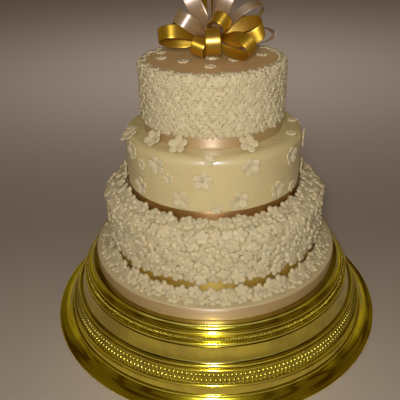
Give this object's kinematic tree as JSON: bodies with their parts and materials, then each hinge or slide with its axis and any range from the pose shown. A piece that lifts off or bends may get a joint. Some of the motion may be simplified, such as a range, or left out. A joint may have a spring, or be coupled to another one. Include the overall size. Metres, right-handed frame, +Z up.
{
  "type": "tiered wedding cake",
  "caption": "Tiered round wedding cake in ivory icing with packed sugar blossoms, satin ribbons and a gold and cream ribbon bow, on an iced drum and a low beaded gold stand.",
  "frame": {"origin": "on the table, at the centre of the stand's foot", "axes": "+Z up, the cake's front faces -Y, +X to the right seen from the front"},
  "size_m": [0.426, 0.426, 0.3993],
  "materials": {
    "polished_gold": "polished and lacquered, mirror bright with soft streaks",
    "board_icing": "smooth champagne sugar paste with a low sheen",
    "ivory_icing": "smooth ivory sugar paste, polished to a soft gloss",
    "blossom_paste": "dried flower paste, matt with a faint sheen",
    "champagne_satin": "double-faced satin ribbon, bright along its sheen",
    "bronze_satin": "double-faced satin ribbon, bright along its sheen",
    "gold_satin": "double-faced satin ribbon, bright along its sheen",
    "cream_satin": "double-faced satin ribbon, bright along its sheen"
  },
  "bodies": {
    "root": {"cake_stand": "polished_gold", "cake_drum": "board_icing", "drum_ribbon": "champagne_satin", "bottom_tier": "blossom_paste", "bottom_ribbon": "gold_satin", "middle_tier": "ivory_icing", "middle_ribbon": "bronze_satin", "top_tier": "blossom_paste", "top_ribbon": "champagne_satin", "bow_pad": "ivory_icing", "bow_knot": "gold_satin", "blossom_1": "blossom_paste", "blossom_2": "blossom_paste", "blossom_3": "blossom_paste", "blossom_4": "blossom_paste", "blossom_5": "blossom_paste", "blossom_6": "blossom_paste", "blossom_7": "blossom_paste", "blossom_8": "blossom_paste", "blossom_9": "blossom_paste", "blossom_10": "blossom_paste", "blossom_11": "blossom_paste", "blossom_12": "blossom_paste", "blossom_13": "blossom_paste", "blossom_14": "blossom_paste", "blossom_15": "blossom_paste", "blossom_16": "blossom_paste", "blossom_17": "blossom_paste", "blossom_18": "blossom_paste", "blossom_19": "blossom_paste", "blossom_20": "blossom_paste", "blossom_21": "blossom_paste", "blossom_22": "blossom_paste", "blossom_23": "blossom_paste", "leaning_blossom_1": "blossom_paste", "leaning_blossom_2": "blossom_paste", "leaning_blossom_3": "blossom_paste", "gold_loop_1": "gold_satin", "gold_loop_2": "gold_satin", "gold_loop_3": "gold_satin", "gold_loop_4": "gold_satin", "gold_loop_5": "gold_satin", "gold_loop_6": "gold_satin", "gold_loop_7": "gold_satin", "gold_loop_8": "gold_satin", "gold_loop_9": "gold_satin", "gold_loop_10": "gold_satin", "gold_loop_11": "gold_satin", "cream_loop_1": "cream_satin", "cream_loop_2": "cream_satin", "cream_loop_3": "cream_satin", "cream_loop_4": "cream_satin", "cream_loop_5": "cream_satin", "cream_loop_6": "cream_satin"}
  },
  "joints": []
}
